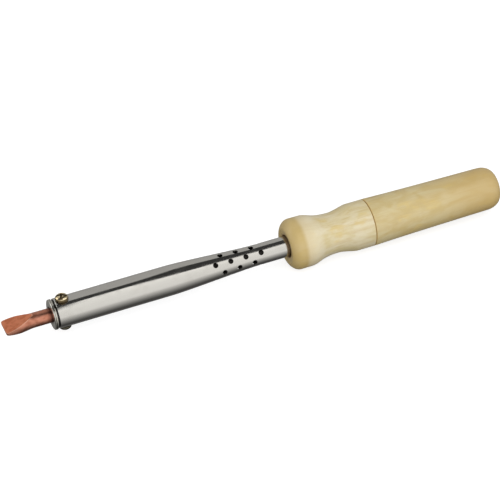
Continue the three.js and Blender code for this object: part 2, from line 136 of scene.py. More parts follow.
class Look:
    """A material, with short calls that add nodes to it. It uses the piece's own coordinates, in metres."""

    def __init__(self, name, color, roughness, metallic=0.0, **sockets):
        self.material = bpy.data.materials.new(name)
        self.material.use_nodes = True
        self.tree = self.material.node_tree
        self.shader = self.tree.nodes["Principled BSDF"]
        self.set(self.shader, {"Base Color": (*color, 1), "Roughness": roughness, "Metallic": metallic})
        self.set(self.shader, {name.replace("_", " "): value for name, value in sockets.items()})
        self.place = self.node("ShaderNodeTexCoord").outputs["Object"]

    def set(self, node, values):
        for name, value in values.items():
            plug(self.tree, node.inputs[name], value)
        return node

    def node(self, kind, inputs=None, **settings):
        made = self.tree.nodes.new(kind)
        for name, value in settings.items():
            setattr(made, name, value)
        return self.set(made, inputs or {})

    def scaled(self, x, y, z, shift=0.0):
        """The place in cm, stretched along each axis: a larger number gives a finer pattern there."""
        per_metre = (x / CENTIMETRE, y / CENTIMETRE, z / CENTIMETRE)
        inputs = {"Vector": self.place, "Scale": per_metre, "Location": (shift, shift, shift)}
        return self.node("ShaderNodeMapping", inputs).outputs["Vector"]

    def noise(self, stretch, detail, rough=0.5, shift=0.0, warp=0.0):
        inputs = {"Vector": self.scaled(*stretch, shift), "Scale": 1.0, "Detail": detail,
                  "Roughness": rough, "Distortion": warp}
        return self.node("ShaderNodeTexNoise", inputs).outputs["Fac"]

    def ramp(self, value, low, high, to_low=0.0, to_high=1.0):
        inputs = {"Value": value, "From Min": low, "From Max": high, "To Min": to_low, "To Max": to_high}
        return self.node("ShaderNodeMapRange", inputs, interpolation_type="SMOOTHSTEP").outputs["Result"]

    def math(self, operation, *values):
        return math_node(self.tree, operation, *values)

    def times(self, *values):
        """The product of two or more values."""
        product = values[0]
        for value in values[1:]:
            product = self.math("MULTIPLY", product, value)
        return product

    def mix(self, share, first, second):
        made = self.node("ShaderNodeMix", data_type="RGBA")
        sockets = {"Factor_Float": share, "A_Color": first, "B_Color": second}
        for socket in made.inputs:
            if socket.identifier in sockets:
                value = sockets[socket.identifier]
                plug(self.tree, socket, (*value, 1) if isinstance(value, tuple) else value)
        return next(s for s in made.outputs if s.identifier == "Result_Color")

    def along(self):
        """The distance from the flange's face along the iron, in mm."""
        x = self.node("ShaderNodeSeparateXYZ", {"Vector": self.place}).outputs["X"]
        return self.math("DIVIDE", self.math("SUBTRACT", x, FLANGE_FACE), MM)

    def above(self):
        """The height above the iron's axis, in mm."""
        z = self.node("ShaderNodeSeparateXYZ", {"Vector": self.place}).outputs["Z"]
        return self.math("DIVIDE", self.math("SUBTRACT", z, AXIS_Z), MM)

    def off_axis(self):
        """The distance from the iron's axis, in mm."""
        parts = self.node("ShaderNodeSeparateXYZ", {"Vector": self.place})
        height = self.math("SUBTRACT", parts.outputs["Z"], AXIS_Z)
        squares = [self.math("POWER", value, 2.0) for value in (parts.outputs["Y"], height)]
        return self.math("DIVIDE", self.math("SQRT", self.math("ADD", *squares)), MM)

    def lengthwise(self):
        """0 where the surface faces square to the iron's axis and 1 where it faces along it."""
        normal = self.node("ShaderNodeNewGeometry").outputs["Normal"]
        return self.math("ABSOLUTE", self.node("ShaderNodeSeparateXYZ", {"Vector": normal}).outputs["X"])

    def upright(self):
        """1 where the surface faces straight up or down."""
        normal = self.node("ShaderNodeNewGeometry").outputs["Normal"]
        return self.math("ABSOLUTE", self.node("ShaderNodeSeparateXYZ", {"Vector": normal}).outputs["Z"])

    def painted(self, name):
        """A value stored on the mesh's vertices."""
        return self.node("ShaderNodeAttribute", attribute_name=name).outputs["Fac"]

    def bump(self, height, millimetres, strength):
        inputs = {"Height": height, "Distance": millimetres * MM, "Strength": strength}
        return self.node("ShaderNodeBump", inputs).outputs["Normal"]

    def finish(self, color, roughness, normal):
        self.set(self.shader, {"Base Color": color, "Roughness": roughness, "Normal": normal})
        return self.material


WOOD = dict(yellow=(0.64, 0.485, 0.17), streak=(0.53, 0.39, 0.17), grain=(0.5, 0.36, 0.16),
            fleck=(0.4, 0.27, 0.12), end_grain=(0.54, 0.4, 0.17), mouth_shade=(0.2, 0.1, 0.045),
            joint=(0.5, 0.32, 0.1), nose=(0.5, 0.36, 0.125), end=(0.5, 0.345, 0.125),
            painted_sheen=(0.74, 0.67, 0.5))


def wood(name, pale, tan, shift):
    look = Look(name, pale, 0.42, Specular_IOR_Level=0.4, Coat_Weight=0.25, Coat_Roughness=0.3)
    fibres = look.noise((0.5, 8, 8), detail=5, rough=0.62, shift=shift)
    streaks = look.noise((0.2, 3.4, 3.4), detail=3, shift=shift + 31)
    flecks = look.noise((1.8, 22, 22), detail=3, rough=0.6, shift=shift + 5)
    figure = look.noise((0.7, 1.5, 1.5), detail=4, shift=shift + 11, warp=0.5)
    patches = look.noise((0.75, 1.6, 1.6), detail=3, shift=shift + 23, warp=0.4)
    color = look.mix(look.ramp(figure, 0.36, 0.66), pale, tan)
    color = look.mix(look.ramp(patches, 0.54, 0.7, 0, 0.48), color, WOOD["yellow"])
    color = look.mix(look.ramp(streaks, 0.5, 0.72, 0, 0.3), color, WOOD["streak"])
    color = look.mix(look.ramp(fibres, 0.46, 0.7, 0, 0.34), color, WOOD["grain"])
    color = look.mix(look.ramp(flecks, 0.6, 0.78, 0, 0.3), color, WOOD["fleck"])
    along = look.along()
    # the nose is darker: partly the wood's own tone and partly painted shade, where less light falls on it
    color = look.mix(look.ramp(along, *FADE["nose"], 0.8, 0), color, WOOD["nose"])
    # painted sheen: a pale band round the shoulder of the nose stands in for a highlight on the varnish
    painted_sheen = look.times(look.ramp(along, *FADE["sheen_begins"]), look.ramp(along, *FADE["sheen_ends"], 1, 0), 0.5)
    color = look.mix(painted_sheen, color, WOOD["painted_sheen"])
    color = look.mix(look.ramp(along, *FADE["end"], 0, 0.65), color, WOOD["end"])
    color = look.mix(look.ramp(look.lengthwise(), 0.35, 1.0, 0, 0.45), color, WOOD["end_grain"])
    # painted shade: the wood round the bore's mouth is darkened, where the recess and the gap to the barrel
    # lie in shade
    near_axis = look.ramp(look.off_axis(), *MOUTH_RADII, 0.85, 0)
    mouth = look.times(near_axis, look.ramp(along, *FADE["mouth"], 1, 0))
    color = look.mix(mouth, color, WOOD["mouth_shade"])
    from_joint = look.math("ABSOLUTE", look.math("SUBTRACT", along, (COLLAR["back"] + REAR_FRONT) / 2))
    color = look.mix(look.ramp(from_joint, *FADE["from_joint"], 0.85, 0), color, WOOD["joint"])
    ridges = look.math("ADD", fibres, look.times(flecks, 0.4))
    return look.finish(color, look.ramp(fibres, 0.3, 0.8, 0.36, 0.5), look.bump(ridges, 0.12, 0.3))


def polished_steel():
    look = Look("polished_steel", (0.62, 0.61, 0.585), 0.17, 1.0)
    drawn = look.noise((0.3, 20, 20), detail=4, shift=3)
    smudges = look.noise((1.2, 1.6, 1.6), detail=3, shift=9)
    color = look.mix(look.ramp(smudges, 0.45, 0.75, 0, 0.35), (0.63, 0.62, 0.595), (0.55, 0.535, 0.5))
    # painted reflection and shadow: the barrel turns dark brown where it goes into the wood, standing in for
    # the shaded wood mirrored in it and the shade of the gap; that band is also rougher
    painted_mouth_shade = look.ramp(look.along(), *BARREL_MOUTH_SHADE)
    color = look.mix(look.times(painted_mouth_shade, 0.92), color, (0.25, 0.18, 0.11))
    rough = look.math("ADD", look.ramp(drawn, 0.3, 0.7, 0.0, 0.05), look.ramp(smudges, 0.4, 0.7, 0.09, 0.16))
    rough = look.math("ADD", rough, look.times(painted_mouth_shade, 0.3))
    return look.finish(color, rough, look.bump(drawn, 0.01, 0.25))


# the barrel's inside: dark heat scale, made near black as painted shade so the vents look dark
def scaled_shaded_steel():
    look = Look("scaled_shaded_steel", (0.06, 0.055, 0.05), 0.6, 1.0)
    scale = look.noise((7, 7, 7), detail=5, rough=0.6, shift=21)
    color = look.mix(look.ramp(scale, 0.4, 0.65), (0.05, 0.046, 0.042), (0.12, 0.1, 0.085))
    return look.finish(color, look.ramp(scale, 0.3, 0.7, 0.5, 0.75), look.bump(scale, 0.02, 0.4))


def nickel():
    look = Look("nickel", (0.6, 0.585, 0.54), 0.2, 1.0)
    along, off_axis = look.along(), look.off_axis()
    rings = look.math("SINE", look.times(off_axis, TURN / BUSH["ring_pitch"]))
    stains = look.noise((3, 3, 3), detail=4, shift=2)
    color = look.mix(look.ramp(stains, 0.42, 0.7, 0, 0.6), (0.62, 0.605, 0.56), (0.46, 0.42, 0.35))
    # painted shade: behind the flange, in the gap to the barrel, the bush is nearly black
    color = look.mix(look.ramp(along, *FADE["shade_behind_flange"]), color, (0.035, 0.032, 0.03))
    # painted shadow: a dark brown ring round the bore, where the bit goes in
    color = look.mix(look.ramp(off_axis, *FADE["bore_shade_radii"], 0.9, 0), color, (0.07, 0.045, 0.03))
    # painted shade: the groove round the flange's rim is made nearly black, fully up to just above the axis
    # and fading to a quarter near the top
    half = BUSH["groove_width"] / 2
    from_groove = look.math("ABSOLUTE", look.math("SUBTRACT", along, BUSH["groove"] + half))
    groove = look.times(
        look.ramp(from_groove, half, half + 0.1, 1, 0),
        look.ramp(off_axis, *GROOVE_SHADE_RADII, 1, 0),
        look.ramp(off_axis, BUSH["radius"], BUSH["radius"] + 0.2),
        look.ramp(look.above(), *FADE["groove_shade_heights"], 1, 0.25),
    )
    color = look.mix(groove, color, (0.02, 0.018, 0.016))
    rough = look.ramp(stains, 0.35, 0.7, 0.15, 0.26)
    return look.finish(color, rough, look.bump(rings, 0.008, 0.35))


def copper():
    look = Look("copper", (0.9, 0.32, 0.17), 0.4, 1.0)
    filing = look.noise((11, 2.4, 2.4), detail=4, shift=6)
    tarnish = look.noise((2.4, 3.2, 3.2), detail=4, shift=14, warp=0.5)
    filed = look.mix(look.ramp(tarnish, 0.42, 0.68), (0.92, 0.33, 0.18), (0.74, 0.235, 0.12))
    forged = look.mix(look.ramp(tarnish, 0.4, 0.7), (0.64, 0.28, 0.19), (0.45, 0.175, 0.11))
    facet = look.times(look.ramp(look.upright(), 0.9, 0.97), look.ramp(look.along(), *FADE["facets"], 1, 0))
    color = look.mix(facet, forged, filed)
    color = look.mix(look.ramp(look.along(), *FADE["hot_end"], 0, 0.85), color, (0.12, 0.045, 0.035))
    # the marked corners and front face are pale copper: partly wear and partly a painted highlight
    color = look.mix(look.times(look.painted("wear_and_glint"), 0.75), color, (0.98, 0.62, 0.45))
    rough = look.math("ADD", look.ramp(filing, 0.3, 0.7, 0.0, 0.08), look.ramp(facet, 0, 1, 0.3, 0.34))
    return look.finish(color, rough, look.bump(filing, 0.03, 0.35))


def brass():
    look = Look("brass", (0.78, 0.56, 0.24), 0.2, 1.0)
    stains = look.noise((5, 5, 5), detail=4, shift=8)
    scratches = look.noise((30, 6, 6), detail=3, shift=1)
    color = look.mix(look.ramp(stains, 0.45, 0.75), (0.88, 0.76, 0.52), (0.62, 0.45, 0.2))
    # dirt and painted shade in the recess and on the lower side of the head; on the screw below the axis the
    # dark is greyer
    grime_and_shade = look.mix(look.ramp(look.above(), *FADE["screw_heights"]), (0.1, 0.1, 0.075), (0.1, 0.066, 0.028))
    color = look.mix(look.ramp(look.painted("grime_and_shade"), 0.0, 0.5, 0, 0.92), color, grime_and_shade)
    return look.finish(color, look.ramp(stains, 0.3, 0.7, 0.1, 0.22), look.bump(scratches, 0.008, 0.25))


def heater_steel():
    look = Look("heater_steel", (0.36, 0.34, 0.31), 0.42, 1.0)
    bands = look.noise((1.1, 0.6, 0.6), detail=3, shift=4, warp=0.8)
    scale = look.noise((9, 9, 9), detail=5, rough=0.6, shift=17)
    color = look.mix(look.ramp(bands, 0.4, 0.56), (0.4, 0.375, 0.34), (0.5, 0.36, 0.17))
    color = look.mix(look.ramp(bands, 0.56, 0.7), color, (0.17, 0.2, 0.33))
    return look.finish(color, look.ramp(scale, 0.3, 0.7, 0.34, 0.56), look.bump(scale, 0.02, 0.4))


def mica():
    look = Look("mica", (0.6, 0.5, 0.34), 0.4)
    flakes = look.node("ShaderNodeTexVoronoi", {"Vector": look.scaled(1, 1, 1), "Scale": 3.2})
    cloud = look.noise((2, 2, 2), detail=4)
    color = look.mix(flakes.outputs["Color"], (0.5, 0.39, 0.23), (0.7, 0.61, 0.44))
    color = look.mix(look.ramp(cloud, 0.4, 0.7, 0, 0.5), color, (0.36, 0.25, 0.13))
    bump = look.bump(flakes.outputs["Distance"], 0.04, 0.5)
    return look.finish(color, look.ramp(cloud, 0.3, 0.7, 0.25, 0.5), bump)


def resistance_wire():
    look = Look("resistance_wire", (0.27, 0.25, 0.235), 0.5, 1.0)
    scale = look.noise((14, 14, 14), detail=4, shift=5)
    color = look.mix(look.ramp(scale, 0.4, 0.65), (0.31, 0.285, 0.26), (0.17, 0.17, 0.18))
    return look.finish(color, look.ramp(scale, 0.3, 0.7, 0.4, 0.62), look.bump(scale, 0.01, 0.4))


def ceramic():
    look = Look("ceramic", (0.78, 0.74, 0.66), 0.6)
    specks = look.noise((22, 22, 22), detail=3, shift=4)
    cloud = look.noise((1.6, 1.6, 1.6), detail=3, shift=12)
    color = look.mix(look.ramp(cloud, 0.4, 0.7), (0.62, 0.57, 0.47), (0.5, 0.43, 0.33))
    color = look.mix(look.ramp(specks, 0.64, 0.74, 0, 0.6), color, (0.26, 0.2, 0.14))
    # painted shade: the ceramic is nearly black inside the barrel, fading back to its own colour in the
    # handle
    color = look.mix(look.ramp(look.along(), *FADE["shade_in_barrel"], 1, 0), color, (0.035, 0.03, 0.026))
    return look.finish(color, look.ramp(specks, 0.3, 0.7, 0.52, 0.7), look.bump(specks, 0.03, 0.3))


def rubber():
    look = Look("rubber", (0.035, 0.034, 0.033), 0.7)
    skin = look.noise((30, 30, 30), detail=4)
    bloom = look.noise((2.2, 2.2, 2.2), detail=3, shift=7)
    color = look.mix(look.ramp(bloom, 0.4, 0.72), (0.03, 0.029, 0.028), (0.075, 0.072, 0.07))
    return look.finish(color, look.ramp(bloom, 0.3, 0.7, 0.6, 0.8), look.bump(skin, 0.03, 0.35))


def phenolic():
    look = Look("phenolic", (0.06, 0.03, 0.017), 0.3)
    swirl = look.noise((2, 3, 3), detail=4, shift=3, warp=1.2)
    skin = look.noise((18, 18, 18), detail=3)
    color = look.mix(look.ramp(swirl, 0.42, 0.64), (0.05, 0.025, 0.014), (0.12, 0.058, 0.028))
    return look.finish(color, look.ramp(swirl, 0.3, 0.7, 0.24, 0.4), look.bump(skin, 0.02, 0.2))


MATERIALS = {
    "copper": copper(),
    "nickel": nickel(),
    "brass": brass(),
    "polished_steel": polished_steel(),
    "scaled_shaded_steel": scaled_shaded_steel(),
    "heater_steel": heater_steel(),
    "mica": mica(),
    "resistance_wire": resistance_wire(),
    "ceramic": ceramic(),
    "front_wood": wood("front_wood", (0.67, 0.6, 0.42), (0.61, 0.52, 0.29), 0.0),
    "rear_wood": wood("rear_wood", (0.585, 0.495, 0.275), (0.535, 0.42, 0.19), 40.0),
    "rubber": rubber(),
    "phenolic": phenolic(),
}


# ---- shapes ----
class Outline:
    """A line drawn with straight, curved and round stretches, as (radius, place along the iron)."""

    def __init__(self, radius, along):
        self.points = [(radius, along)]

    def line(self, radius, along, steps=1):
        r0, a0 = self.points[-1]
        for i in range(1, steps + 1):
            t = i / steps
            self.points.append((r0 + (radius - r0) * t, a0 + (along - a0) * t))

    def curve(self, *controls, steps=12):
        """A Bezier curve from the last point through any number of control points."""
        start = [self.points[-1], *controls]
        for i in range(1, steps + 1):
            t, level = i / steps, start
            while len(level) > 1:
                level = [
                    (p[0] + (q[0] - p[0]) * t, p[1] + (q[1] - p[1]) * t)
                    for p, q in zip(level, level[1:])
                ]
            self.points.append(level[0])

    def round(self, centre, radii, begin, end, steps=14):
        """Part of an ellipse, between two angles in degrees. At 0 it is furthest from the axis."""
        for i in range(1, steps + 1):
            angle = math.radians(begin + (end - begin) * i / steps)
            radius, along = centre[0] + radii[0] * math.cos(angle), centre[1] + radii[1] * math.sin(angle)
            self.points.append((radius, along))


def piece(name, mesh, slot, body, *nodes, crease=30):
    """Puts a mesh into the scene as the piece that stands for some CAD nodes."""
    mesh.materials.clear()
    mesh.materials.append(MATERIALS[slot])
    mesh.shade_smooth()
    mesh.set_sharp_from_angle(angle=math.radians(crease))
    made = bpy.data.objects.new(name, mesh)
    bpy.context.scene.collection.objects.link(made)
    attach(made, body)
    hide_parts(*nodes)
    return made


def mesh_from(name, vertices, faces):
    mesh = bpy.data.meshes.new(name)
    mesh.from_pydata(vertices, [], faces)
    shape = bmesh.new()
    shape.from_mesh(mesh)
    bmesh.ops.remove_doubles(shape, verts=shape.verts, dist=0.0005 * MM)
    bmesh.ops.recalc_face_normals(shape, faces=shape.faces)
    shape.to_mesh(mesh)
    shape.free()
    return mesh


def placed(along, y, z):
    return Vector((FLANGE_FACE + along * MM, y * MM, AXIS_Z + z * MM))


def turned(name, points, sides):
    """A closed outline, turned about the iron's axis."""
    vertices, faces = [], []
    for i in range(sides):
        angle = TURN * i / sides
        for radius, along in points:
            vertices.append(placed(along, radius * math.sin(angle), radius * math.cos(angle)))
    count = len(points)
    for i in range(sides):
        j = (i + 1) % sides
        for k in range(count):
            n = (k + 1) % count
            faces.append((i * count + k, i * count + n, j * count + n, j * count + k))
    return mesh_from(name, vertices, faces)


def spoke(radius, low, high, along, angle, sides=48):
    """A round tool that points away from the iron's axis, for cutting a hole."""
    vertices = []
    for height in (low, high):
        for i in range(sides):
            turn = TURN * i / sides
            x, across = along + radius * math.cos(turn), radius * math.sin(turn)
            vertices.append(placed(
                x,
                across * math.cos(angle) - height * math.sin(angle),
                across * math.sin(angle) + height * math.cos(angle),
            ))
    walls = [(i, (i + 1) % sides, sides + (i + 1) % sides, sides + i) for i in range(sides)]
    ends = [tuple(range(sides)), tuple(range(sides, 2 * sides))]
    return mesh_from("tool", vertices, walls + ends)


def cut(mesh, tools):
    """The mesh with every tool mesh cut away from it."""
    for tool in tools:
        body = bpy.data.objects.new("body", mesh)
        cutter = bpy.data.objects.new("cutter", tool)
        for each in (body, cutter):
            bpy.context.scene.collection.objects.link(each)
        step = body.modifiers.new("cut", "BOOLEAN")
        step.operation, step.solver, step.object = "DIFFERENCE", "EXACT", cutter
        graph = bpy.context.evaluated_depsgraph_get()
        mesh = bpy.data.meshes.new_from_object(body.evaluated_get(graph), depsgraph=graph)
        bpy.data.objects.remove(body)
        bpy.data.objects.remove(cutter)
    return mesh


def joined(meshes):
    """Several separate closed meshes as one, to cut with at once."""
    shape = bmesh.new()
    for mesh in meshes:
        shape.from_mesh(mesh)
    together = bpy.data.meshes.new("tools")
    shape.to_mesh(together)
    shape.free()
    return together


# ---- bit ----
def bit_radius(outline, along):
    """The outline's radius at a place along the bit."""
    for (r0, a0), (r1, a1) in zip(outline, outline[1:]):
        if a0 <= along <= a1 and a1 > a0:
            return r0 + (r1 - r0) * (along - a0) / (a1 - a0)
    return outline[-1][0]


def bit_section(radius, flat):
    """A circle between two flats, as points across the bit and up it."""
    open_angle = max(math.acos(min(1, flat / radius)), math.radians(BIT_SECTIONS["least_flat"]))
    ring = []
    for side in (1, -1):
        for i in range(BIT_SECTIONS["flat_sides"]):
            y = side * radius * math.sin(open_angle) * (2 * i / BIT_SECTIONS["flat_sides"] - 1)
            ring.append((y, side * min(flat, math.sqrt(radius**2 - y**2))))
        for i in range(BIT_SECTIONS["round_sides"]):
            angle = open_angle + (math.pi - 2 * open_angle) * i / BIT_SECTIONS["round_sides"]
            ring.append((side * radius * math.sin(angle), side * radius * math.cos(angle)))
    return ring


def bit_flat(along):
    """Half the thickness between the two flats, at a place along the bit."""
    rise = (BIT["radius"] - BIT["edge_half"]) / (BIT["forged_from"] - BIT_FRONT)
    return BIT["edge_half"] + rise * (along - BIT_FRONT)


def paint_wear_and_glint(mesh, outline):
    """Marks the long corners of the forged end and its front face as bright: worn copper and a painted
    highlight.
    """
    wear_and_glint = mesh.attributes.new("wear_and_glint", "FLOAT", "POINT")
    for vertex in mesh.vertices:
        along = (vertex.co.x - FLANGE_FACE) / MM
        height, y = abs(vertex.co.z - AXIS_Z) / MM, abs(vertex.co.y) / MM
        off_corner = abs(height - bit_flat(along)) + abs(math.hypot(height, y) - bit_radius(outline, along))
        bright = along < BIT["forged_from"] and off_corner < BIT["bright_corner"]
        wear_and_glint.data[vertex.index].value = 1.0 if bright or along < BIT_FRONT + BIT["bright_front"] else 0.0


def make_bit():
    """A round rod whose end is spread and forged flat: each section is a circle between two flats."""
    half, corner = BIT_HALF_WIDTH, BIT["corner"]
    outline = Outline(half - corner, BIT_FRONT)
    outline.curve((half, BIT_FRONT), (half, BIT_FRONT + corner), steps=10)
    outline.curve((half, BIT["widest"]), (BIT["shoulder_radius"], BIT["shoulder"]))
    outline.curve((BIT["radius"], BIT["forged_from"] - BIT["ease"]), (BIT["radius"], BIT["forged_from"]))
    outline.line(BIT["radius"], BIT_BACK - BIT["chamfer"], steps=60)
    outline.line(BIT["radius"] - BIT["chamfer"], BIT_BACK)
    forged = {BIT_FRONT + BIT_SECTIONS["pitch"] * i for i in range(BIT_SECTIONS["forged"])}
    stations = sorted({along for _, along in outline.points} | forged)
    vertices = []
    for along in stations:
        ring = bit_section(bit_radius(outline.points, along), bit_flat(along))
        vertices += [placed(along, y, z) for y, z in ring]
    count = len(ring)
    faces = [tuple(range(count)), tuple(range(len(vertices) - count, len(vertices)))]
    for k in range(len(stations) - 1):
        for i in range(count):
            j = (i + 1) % count
            faces.append((k * count + i, k * count + j, (k + 1) * count + j, (k + 1) * count + i))
    mesh = mesh_from("bit_copper", vertices, faces)
    paint_wear_and_glint(mesh, outline.points)
    made = piece("bit_copper", mesh, "copper", "bit", "bit", crease=BIT_EDGES["crease"])
    edge = made.modifiers.new("soften", "BEVEL")
    edge.width, edge.segments = BIT_EDGES["soft"] * MM, BIT_EDGES["steps"]
    edge.limit_method, edge.angle_limit = "ANGLE", math.radians(BIT_EDGES["soft_above"])
    edge.harden_normals = True


# ---- nose bush and clamp screws ----
def make_bush():
    rim, rim_length, chamfer = BUSH["rim"], BUSH["rim_length"], BUSH["chamfer"]
    groove, width, edge, back = BUSH["groove"], BUSH["groove_width"], BUSH["groove_edge"], BUSH["back_rim"]
    outline = Outline(BUSH["bore"], chamfer)
    outline.line(BUSH["bore"] + chamfer, 0)
    outline.line(FLANGE_RADIUS - rim, 0)
    outline.round((FLANGE_RADIUS - rim, rim_length), (rim, rim_length), -90, 0)
    outline.line(FLANGE_RADIUS, groove)
    outline.line(FLANGE_RADIUS - BUSH["groove_depth"], groove + width / 3)
    outline.line(FLANGE_RADIUS - BUSH["groove_depth"], groove + 2 * width / 3)
    outline.line(FLANGE_RADIUS - edge, groove + width)
    outline.curve((FLANGE_RADIUS, groove + width), (FLANGE_RADIUS, groove + width + edge), steps=5)
    outline.line(FLANGE_RADIUS, BUSH["flange"] - back)
    outline.round((FLANGE_RADIUS - back, BUSH["flange"] - back), (back, back), 0, 90)
    outline.line(BUSH["radius"], BUSH["flange"])
    outline.line(BUSH["radius"], BUSH_BACK)
    outline.line(BUSH["seat_radius"], BUSH_BACK)
    outline.line(BUSH["seat_radius"], BUSH["seat"])
    outline.line(BUSH["bore"], BUSH["seat"])
    hole = spoke(BUSH["tapped"], -FLANGE_RADIUS, FLANGE_RADIUS, BUSH["screws_at"], 0.0)
    mesh = cut(turned("bush", outline.points, FINE), [hole])
    piece("bush_nickel", mesh, "nickel", "iron", "nose_bush")


def screw_columns():
    """The screw's outline at each step round its axis, from the tip to the top of the head."""
    head = Outline(SCREW["shank"], SCREW["base"])
    head.line(SCREW["head"] - SCREW["rim_round"], SCREW["base"])
    head.curve((SCREW["head"], SCREW["base"]), (SCREW["head"], SCREW["base"] + SCREW["rim"]), steps=3)
    dome = (SCREW["head"], SCREW["height"] - SCREW["rim"])
    head.round((0, SCREW["base"] + SCREW["rim"]), dome, 0, DOME_ENDS, steps=24)
    length = SCREW["base"] - SCREW["tip"]
    rows = int(length / SCREW["pitch"] * THREAD["rows_per_turn"])
    columns = []
    for i in range(THREAD["sides"]):
        column = [(THREAD["centre"], SCREW["tip"])]
        for k in range(rows + 1):
            height = SCREW["tip"] + length * k / rows
            phase = (height / SCREW["pitch"] - i / THREAD["sides"]) % 1
            share = min(1, THREAD["steepness"] * min(phase, 1 - phase))
            crest = SCREW["root"] + (SCREW["shank"] - SCREW["root"]) * share
            start = min(1, (height - SCREW["tip"]) / THREAD["lead_in"] + THREAD["lead_in_from"])
            column.append((crest * start, height))
        columns.append(column + head.points)
    return columns


def recess_arms(top):
    """Two crossed bars, wider above than below, that cut the cross recess."""
    levels = ((RECESS["taper"], top - RECESS["depth"]), (RECESS["spread"], top + RECESS["over"]))
    box_faces = [(0, 1, 2, 3), (4, 5, 6, 7), (0, 1, 5, 4), (1, 2, 6, 5), (2, 3, 7, 6), (3, 0, 4, 7)]
    arms = []
    for angle in (RECESS["turn"], RECESS["turn"] + 90):
        turn = Matrix.Rotation(math.radians(angle), 3, "Z")
        corners = []
        for share, height in levels:
            x, y = RECESS["length"] / 2 * share, RECESS["width"] / 2 * share
            for sx, sy in ((-1, -1), (1, -1), (1, 1), (-1, 1)):
                corners.append(turn @ Vector((sx * x, sy * y, height)))
        arms.append(mesh_from("arm", corners, box_faces))
    return arms


def paint_grime_and_shade(screw):
    """Marks the recess and the lower side of the head as dark: dirt and painted shade."""
    grime_and_shade = screw.attributes.new("grime_and_shade", "FLOAT", "POINT")
    for vertex in screw.vertices:
        out = min(1, math.hypot(vertex.co.x, vertex.co.y) / SCREW["head"])
        dome = (SCREW["height"] - SCREW["rim"]) * math.sqrt(1 - out**2)
        surface = SCREW["base"] + SCREW["rim"] + dome
        low = vertex.co.z < SCREW["base"] + SCREW["dark_below"]
        grime_and_shade.data[vertex.index].value = 1.0 if low or vertex.co.z < surface - SCREW["dark_depth"] else 0.0


def make_screw(name, node, turn):
    """A pan-head screw with a cross recess and a real thread, standing out of the iron at an angle."""
    columns = screw_columns()
    sides, count = len(columns), len(columns[0])
    vertices = []
    for i, column in enumerate(columns):
        angle = TURN * i / sides
        for radius, height in column:
            vertices.append(Vector((radius * math.cos(angle), radius * math.sin(angle), height)))
    faces = [tuple(i * count for i in range(sides)), tuple(i * count + count - 1 for i in range(sides))]
    for i in range(sides):
        j = (i + 1) % sides
        for k in range(count - 1):
            faces.append((i * count + k, i * count + k + 1, j * count + k + 1, j * count + k))
    screw = cut(mesh_from(name, vertices, faces), recess_arms(SCREW["base"] + SCREW["height"]))
    paint_grime_and_shade(screw)
    to_place = Matrix.Translation(placed(BUSH["screws_at"], 0, 0))
    screw.transform(to_place @ Matrix.Rotation(turn, 4, "X") @ Matrix.Scale(MM, 4))
    piece(name, screw, "brass", node, node)


# ---- barrel ----
def vent_places():
    for row in range(VENT["rows"]):
        between = row % 2 == 0
        first = VENT["first"] + (VENT["pitch"] / 2 if between else 0)
        for i in range(VENT["in_line"] - between):
            yield first + i * VENT["pitch"], row * TURN / VENT["rows"]


def make_barrel():
    outline = Outline(BARREL_RADIUS, BARREL_FRONT + BARREL["edge"])
    outline.line(BARREL_RADIUS, BARREL["taper_from"], steps=6)
    outline.curve(
        (BARREL_RADIUS, BARREL["taper_from"] + BARREL["ease_in"]),
        (BARREL["neck"], BARREL["taper_to"] - BARREL["ease_out"]),
        (BARREL["neck"], BARREL["taper_to"]), steps=40,
    )
    outline.line(BARREL["neck"], BARREL_BACK - BARREL["flare_length"], steps=4)
    outline.line(BARREL["flare"], BARREL_BACK)
    inside = [(radius - BARREL["wall"], along) for radius, along in reversed(outline.points)]
    inside[-1] = (BARREL_RADIUS - BARREL["wall"], BARREL_FRONT)
    rolled_edge = [(BARREL_RADIUS - BARREL["edge"], BARREL_FRONT)]
    shell = turned("barrel", outline.points + inside + rolled_edge, FINE)
    tools = [spoke(BARREL["screw_hole"], *CUT_SCREWS, BUSH["screws_at"], angle) for angle in (0, math.pi)]
    tools += [spoke(VENT["radius"], *CUT_VENTS, along, angle, sides=32) for along, angle in vent_places()]
    mesh = cut(shell, [joined(tools)])
    piece("barrel_steel", mesh, "polished_steel", "iron", "barrel")
    mesh.materials.append(MATERIALS["scaled_shaded_steel"])
    # the inside faces get the near-black steel: heat scale and painted shade
    for face in mesh.polygons:
        outwards = Vector((0, face.center.y, face.center.z - AXIS_Z)).normalized()
        face_is_inside = face.normal.dot(outwards) < -0.8
        face.material_index = 1 if face_is_inside else 0


